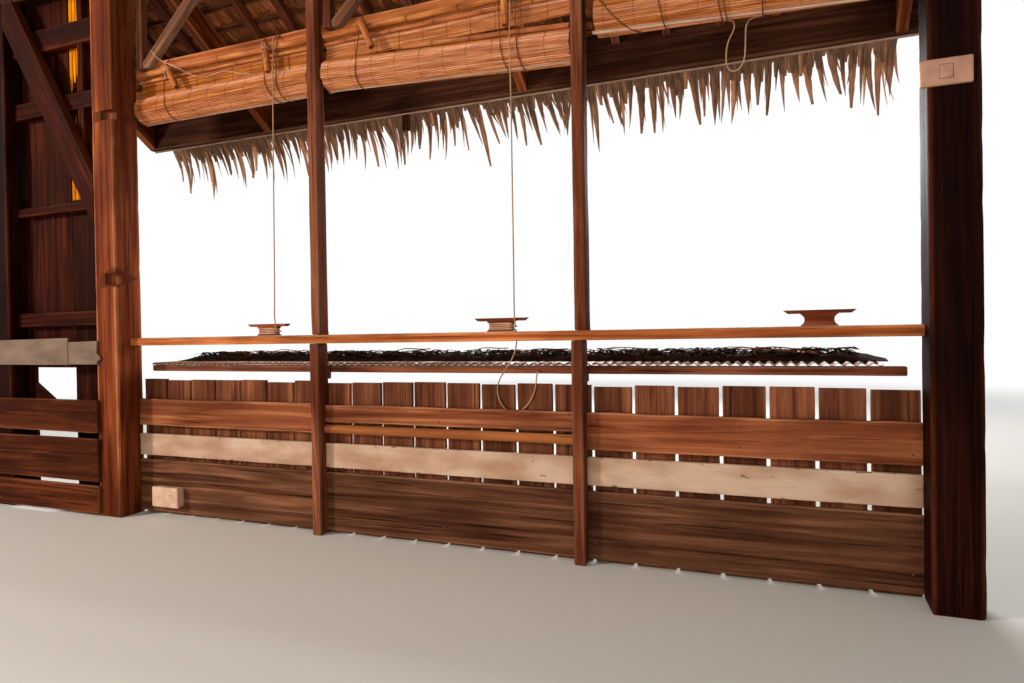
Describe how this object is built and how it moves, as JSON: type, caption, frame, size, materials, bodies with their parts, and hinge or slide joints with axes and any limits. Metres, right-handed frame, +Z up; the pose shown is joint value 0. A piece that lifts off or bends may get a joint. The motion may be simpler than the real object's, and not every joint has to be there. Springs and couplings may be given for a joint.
{
  "type": "stilt house window wall bay",
  "caption": "Open timber window wall of a stilt house with rolled bamboo blinds, cord cleats, thatched eave, boarded low wall and a braced side bay.",
  "frame": {"origin": "centre of the left main post's flat foot, at floor level", "axes": "+X along the wall to the right as seen from the room, +Y outward to the eave, +Z up"},
  "size_m": [4.072, 1.2863, 2.8387],
  "materials": {
    "post_wood": "old varnish, worn",
    "frame_wood": "red stain, worn",
    "rail_wood": "oiled, weathered",
    "roof_wood": "rough sawn, dark",
    "board_wood": "rough sawn, weathered",
    "white_paint": "old white paint",
    "bamboo": "satin",
    "rope": "twisted fibre",
    "palm_leaf": "dry leaf",
    "sheet_metal": "weathered zinc",
    "fitting": "aged"
  },
  "bodies": {
    "root": {"left_post": "post_wood", "right_post": "post_wood", "end_post": "post_wood", "mullions": "frame_wood", "lower_studs": "frame_wood", "head_studs": "frame_wood", "cleats": "frame_wood", "ledger": "frame_wood", "side_rails": "frame_wood", "side_studs": "frame_wood", "side_brace": "frame_wood", "sill_rail": "rail_wood", "header_planks": "rail_wood", "head_braces": "rail_wood", "lower_pole": "rail_wood", "wall_plate": "roof_wood", "main_rafters": "roof_wood", "common_rafters": "roof_wood", "roof_battens": "roof_wood", "eave_fascia": "roof_wood", "top_planks": "board_wood", "bottom_planks": "board_wood", "outer_boards": "board_wood", "side_boards": "board_wood", "side_slit_board": "board_wood", "side_planks": "board_wood", "white_band": "white_paint", "side_white_strips": "white_paint", "left_blind": "bamboo", "middle_blind": "bamboo", "right_blind": "bamboo", "blind_rods": "bamboo", "blind_toggles": "bamboo", "side_light_panel": "bamboo", "blind_slings": "rope", "left_pull_cord": "rope", "middle_pull_cord": "rope", "right_pull_cord": "rope", "loose_string": "rope", "roof_thatch": "palm_leaf", "eave_fringe": "palm_leaf", "ridge_thatch": "palm_leaf", "corrugated_sheet": "sheet_metal", "switch_plate": "fitting", "socket_box": "fitting"}
  },
  "joints": []
}
